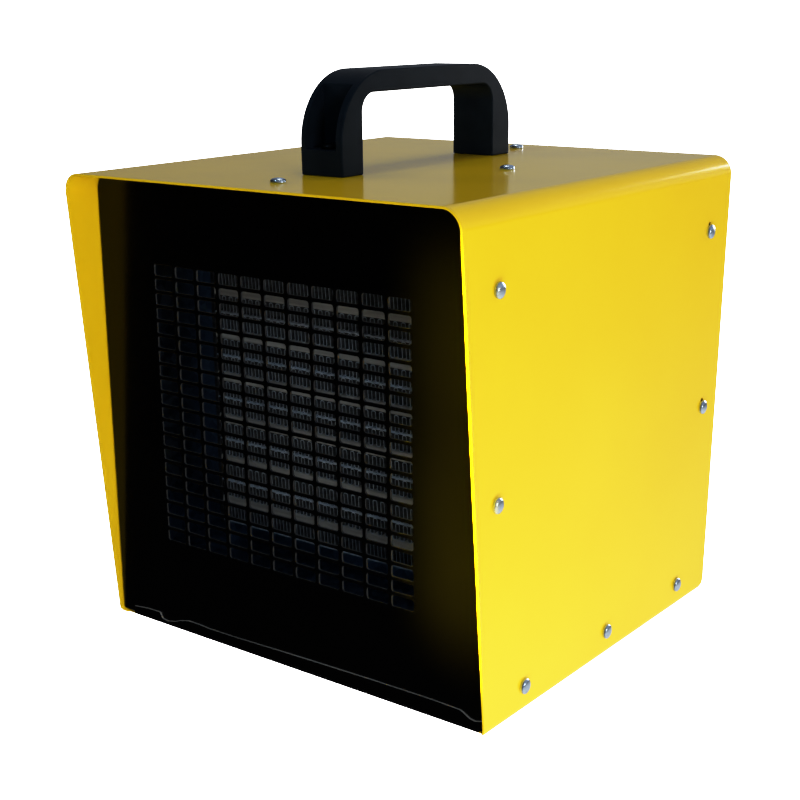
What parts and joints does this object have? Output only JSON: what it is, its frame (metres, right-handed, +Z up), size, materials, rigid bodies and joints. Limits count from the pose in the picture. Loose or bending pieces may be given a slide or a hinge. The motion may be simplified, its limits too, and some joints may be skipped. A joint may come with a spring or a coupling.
{
  "type": "forced air heater",
  "caption": "Portable forced air heater: folded yellow case, slotted black outlet panel over a finned element, axial fan, bridge handle and rear control knobs",
  "frame": {"origin": "on the floor, under the middle of the bounding box", "axes": "+Z up along the longest extent, +Y to the rear where the cable leaves, +X to the right as seen from the front"},
  "size_m": [0.2568, 0.26, 0.308],
  "materials": {
    "shell_yellow": "satin powder coat",
    "panel_black": "semi-gloss powder coat",
    "handle_black": "satin moulded",
    "zinc_screw": "bright zinc plate",
    "zinc_nut": "bright zinc plate",
    "tube_aluminium": "mill",
    "fin_aluminium": "mill",
    "rail_aluminium": "mill",
    "terminal_brass": "bright",
    "galvanised": "galvanised",
    "cutout_body": "mill",
    "bearing_bronze": "sintered",
    "core_steel": "laminated",
    "coil_copper": "enamelled wire",
    "rotor_steel": "ground",
    "shaft_steel": "ground",
    "fan_aluminium": "pressed",
    "switch_plastic": "moulded",
    "thermostat_metal": "plated",
    "knob_black": "satin moulded",
    "gland_black": "moulded nylon",
    "block_white": "moulded",
    "foot_rubber": "matte"
  },
  "bodies": {
    "case": {"outer_shell": "shell_yellow", "front_panel": "panel_black", "rear_panel": "panel_black", "base_tray": "panel_black", "handle": "handle_black", "handle_screws": "zinc_screw", "handle_nuts": "zinc_nut", "side_screws": "zinc_screw", "top_screws": "zinc_screw", "element_tubes": "tube_aluminium", "element_fins": "fin_aluminium", "element_plates": "fin_aluminium", "element_rails": "rail_aluminium", "element_terminals": "terminal_brass", "element_baffle": "galvanised", "air_duct": "galvanised", "thermal_cutout": "cutout_body", "fan_plate": "galvanised", "motor_strap": "galvanised", "motor_front_bracket": "galvanised", "motor_rear_bracket": "galvanised", "motor_bearings": "bearing_bronze", "motor_stack": "core_steel", "motor_coil": "coil_copper", "motor_screws": "zinc_screw", "power_switch": "switch_plastic", "thermostat": "thermostat_metal", "control_nuts": "zinc_nut", "cable_gland": "gland_black", "gland_nut": "gland_black", "terminal_block": "block_white", "rubber_feet": "foot_rubber", "foot_screws": "zinc_screw"},
    "fan": {"motor_rotor": "rotor_steel", "motor_shaft": "shaft_steel", "fan_impeller": "fan_aluminium", "fan_nut": "zinc_nut"},
    "selector": {"switch_spindle": "shaft_steel", "switch_knob": "knob_black"},
    "thermostat_dial": {"thermostat_spindle": "shaft_steel", "thermostat_knob": "knob_black"}
  },
  "joints": [
    {"name": "fan_spin", "type": "hinge", "parent": "case", "child": "fan", "pos_m": [0, -0.02, 0.134], "axis": [0, 1, 0], "continuous": true},
    {"name": "selector_turn", "type": "hinge", "parent": "case", "child": "selector", "pos_m": [-0.046, 0.113, 0.224], "axis": [0, -1, 0], "range_deg": [0, 135]},
    {"name": "thermostat_turn", "type": "hinge", "parent": "case", "child": "thermostat_dial", "pos_m": [0.046, 0.113, 0.224], "axis": [0, -1, 0], "range_deg": [0, 270]}
  ]
}
